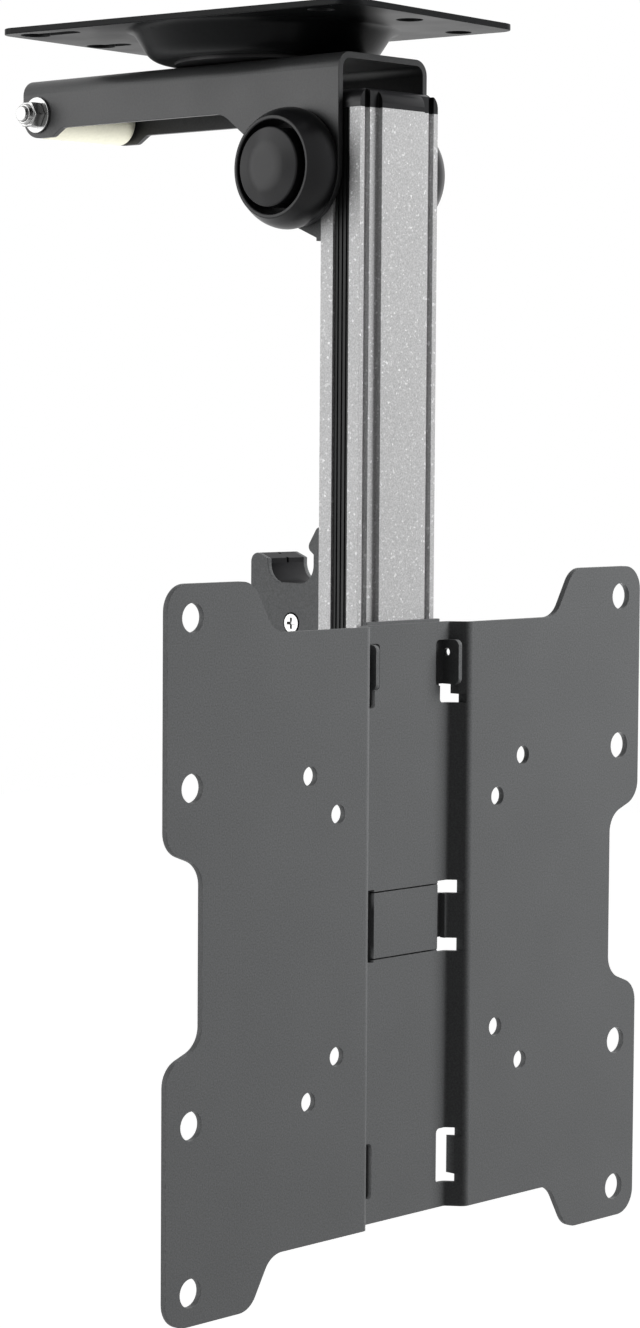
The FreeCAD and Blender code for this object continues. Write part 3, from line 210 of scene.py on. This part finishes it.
def material(name, colour, roughness, grain, metallic=0.0, specular=0.5, grain_depth=0.1, spread=0.08):
    """Solid finish with fine grain in colour and relief, and a slow cloudy drift in shade and gloss."""
    made, tree, shader = new_material(name)
    shader.inputs["Metallic"].default_value = metallic
    shader.inputs["Specular IOR Level"].default_value = specular
    fine = noise(tree, grain, GRAIN_DETAIL)
    slow = noise(tree, CLOUD_SCALE, CLOUD_DETAIL)
    dark = tuple(part * (1 - spread) for part in colour)
    light = tuple(min(1, part * (1 + spread)) for part in colour)
    tone = ramp(tree, fine, GRAIN_SPAN, dark, light)
    drift = ramp(tree, slow, CLOUD_SPAN, grey(CLOUD_SHADE), grey(1.0))
    tree.links.new(blend(tree, "MULTIPLY", tone, drift), shader.inputs["Base Color"])
    gloss = ramp(tree, slow, GLOSS_SPAN, grey(roughness - GLOSS_DRIFT), grey(roughness + GLOSS_DRIFT))
    tree.links.new(gloss, shader.inputs["Roughness"])
    bump = tree.nodes.new("ShaderNodeBump")
    bump.inputs["Strength"].default_value = grain_depth
    bump.inputs["Distance"].default_value = GRAIN_HEIGHT
    tree.links.new(fine, bump.inputs["Height"])
    tree.links.new(bump.outputs["Normal"], shader.inputs["Normal"])
    return made


def add_painted_glints(made, scale, share, boost):
    """Painted glints: random specks of brighter base colour that stand in for the sparkle of blasted
    aluminium.
    """
    tree = made.node_tree
    base = tree.nodes["Principled BSDF"].inputs["Base Color"]
    cells = tree.nodes.new("ShaderNodeTexVoronoi")
    cells.inputs["Scale"].default_value = scale
    tree.links.new(object_place(tree), cells.inputs["Vector"])
    # painted glints: cells past the share lift the base colour towards the boost, as bright specks
    painted_glints = ramp(tree, cells.outputs["Color"], (1 - share, 1.0), grey(0.0), grey(boost))
    plain = base.links[0].from_socket
    tree.links.new(blend(tree, "ADD", plain, painted_glints), base)


def make_materials():
    materials = {name: material(name, **finish) for name, finish in FINISHES.items()}
    # painted glints: bright specks added to the base colour of the finishes listed
    for name, painted_glints in PAINTED_GLINTS.items():
        add_painted_glints(materials[name], **painted_glints)
    return materials


def dress_nodes(materials):
    """Give each node the finish of its slot."""
    for entry in frame["record"]["subparts"]:
        node = NODES[entry["node"]]
        node.data.materials.clear()
        node.data.materials.append(materials[entry["material_slot"]])


# Edges, with the width of the rounding in millimetres

EDGE_WIDTHS = {
    "vesa_plate": 0.12,
    "head_bracket": 0.12,
    "ceiling_plate": 0.35,
    "channel_bracket": 0.3,
    "hinge_bracket": 0.3,
    "latch_cheek_left": 0.25,
    "latch_cheek_right": 0.25,
    "latch_block": 0.4,
    "latch_guide": 0.4,
    "arm_profile": 0.3,
    "arm_top_cap": 0.4,
    "arm_bottom_cap": 0.4,
    "hinge_washers": 0.15,
    "roller_nut": 0.25,
    "roller_bolt": 0.3,
    "roller_washers": 0.15,
    "latch_roller": 0.15,
    "release_bar": 0.4,
    "swivel_bolt": 0.5,
    "swivel_nut": 0.4,
}
EDGE_STEPS = 2
SAME_POINT = 0.001 * MM
FLAT_ANGLE = math.radians(0.5)
SHARP_ANGLE = math.radians(40)


def break_edges():
    """Small rounding on sharp edges, so that they catch the light as pressed and moulded edges do."""
    for name, width in EDGE_WIDTHS.items():
        node = NODES[name]
        weld = node.modifiers.new("weld", "WELD")
        weld.merge_threshold = SAME_POINT
        plain = node.modifiers.new("plain", "DECIMATE")
        plain.decimate_type = "DISSOLVE"
        plain.angle_limit = FLAT_ANGLE
        bevel = node.modifiers.new("edge", "BEVEL")
        bevel.width = width * MM
        bevel.segments = EDGE_STEPS
        bevel.limit_method = "ANGLE"
        bevel.angle_limit = SHARP_ANGLE
        bevel.use_clamp_overlap = True


# Spring


def make_spring():
    """Coil that stands for the rigid spring: a copy of its mesh hung on the arm, with the rigid spring
    hidden.
    """
    rigid = NODES["latch_spring"]
    coil = bpy.data.objects.new("latch_spring_coil", rigid.data.copy())
    scene.collection.objects.link(coil)
    coil.matrix_world = rigid.matrix_world.copy()
    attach(coil, "arm")
    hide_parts("latch_spring")
    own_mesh(coil)


# Studio. Places and sizes are in metres, and powers in watts

BACKDROP = 1.0
AMBIENT = 0.025
FLOOR_HALF = 8.0
FLOOR_HEIGHT = -1.4
FLOOR_GREY = 0.5
FLOOR_ROUGHNESS = 0.9
FLOOR_SPECULAR = 0.1
FLOOR_GLOW = {"From Min": 1.1, "From Max": 1.7, "To Min": 0.84, "To Max": 0.97}
ARM_MIDDLE = (0, -0.03, -0.2)
UNDER_CHANNEL = (0, 0.09, -0.03)
LAMPS = {
    "key": dict(
        place=(0.95, -0.86, 0.55), target=ARM_MIDDLE, size=(0.7, 0.7), power=39, mirrored=False),
    "side": dict(
        place=(-1.8, 1.3, 0.2), target=ARM_MIDDLE, size=(2.0, 2.2), power=48, mirrored=True),
    "low": dict(
        place=(0.2, 0.06, -0.36), target=UNDER_CHANNEL, size=(0.2, 0.2), power=1.6, mirrored=False),
}


def make_world():
    """Backdrop that is white where it is seen and gives only a weak even light."""
    world = bpy.data.worlds.new("studio")
    scene.world = world
    world.use_nodes = True
    tree = world.node_tree
    back = tree.nodes["Background"]
    back.inputs["Color"].default_value = WHITE
    level = tree.nodes.new("ShaderNodeMapRange")
    level.inputs["To Min"].default_value = AMBIENT
    level.inputs["To Max"].default_value = BACKDROP
    tree.links.new(backdrop_rays(tree), level.inputs["Value"])
    tree.links.new(level.outputs["Result"], back.inputs["Strength"])


def floor_material():
    """Pale finish, with a glow that rises outwards and shows only to the rays that see the backdrop."""
    made, tree, shader = new_material("floor")
    shader.inputs["Base Color"].default_value = (*grey(FLOOR_GREY), 1)
    shader.inputs["Roughness"].default_value = FLOOR_ROUGHNESS
    shader.inputs["Specular IOR Level"].default_value = FLOOR_SPECULAR
    shader.inputs["Emission Color"].default_value = WHITE
    reach = tree.nodes.new("ShaderNodeVectorMath")
    reach.operation = "LENGTH"
    tree.links.new(object_place(tree), reach.inputs[0])
    glow = tree.nodes.new("ShaderNodeMapRange")
    for name, value in FLOOR_GLOW.items():
        glow.inputs[name].default_value = value
    tree.links.new(reach.outputs["Value"], glow.inputs["Value"])
    seen = calculate(tree, "MULTIPLY", glow.outputs["Result"], backdrop_rays(tree))
    tree.links.new(seen, shader.inputs["Emission Strength"])
    return made


def make_floor():
    """Square floor below the object."""
    sides = ((-1, -1), (1, -1), (1, 1), (-1, 1))
    corners = [(x * FLOOR_HALF, y * FLOOR_HALF, FLOOR_HEIGHT) for x, y in sides]
    mesh = bpy.data.meshes.new("floor")
    mesh.from_pydata(corners, [], [range(len(corners))])
    mesh.materials.append(floor_material())
    floor = bpy.data.objects.new("floor", mesh)
    scene.collection.objects.link(floor)


def area_lamp(name, place, target, size, power, mirrored):
    """Soft panel. One that isn't mirrored lights the finishes without glare on them."""
    data = bpy.data.lights.new(name, "AREA")
    data.shape = "RECTANGLE"
    data.size, data.size_y = size
    data.energy = power
    lamp = bpy.data.objects.new(name, data)
    scene.collection.objects.link(lamp)
    lamp.location = place
    lamp.rotation_euler = (Vector(target) - Vector(place)).to_track_quat("-Z", "Y").to_euler()
    lamp.visible_glossy = mirrored
    lamp.visible_camera = False


def make_lights():
    """Key in front on the right, a large panel behind on the left, and a small one below the channel."""
    for name, values in LAMPS.items():
        area_lamp(name, **values)


make_camera()
scene.view_settings.view_transform = "Standard"
dress_nodes(make_materials())
break_edges()
make_spring()
make_world()
make_floor()
make_lights()
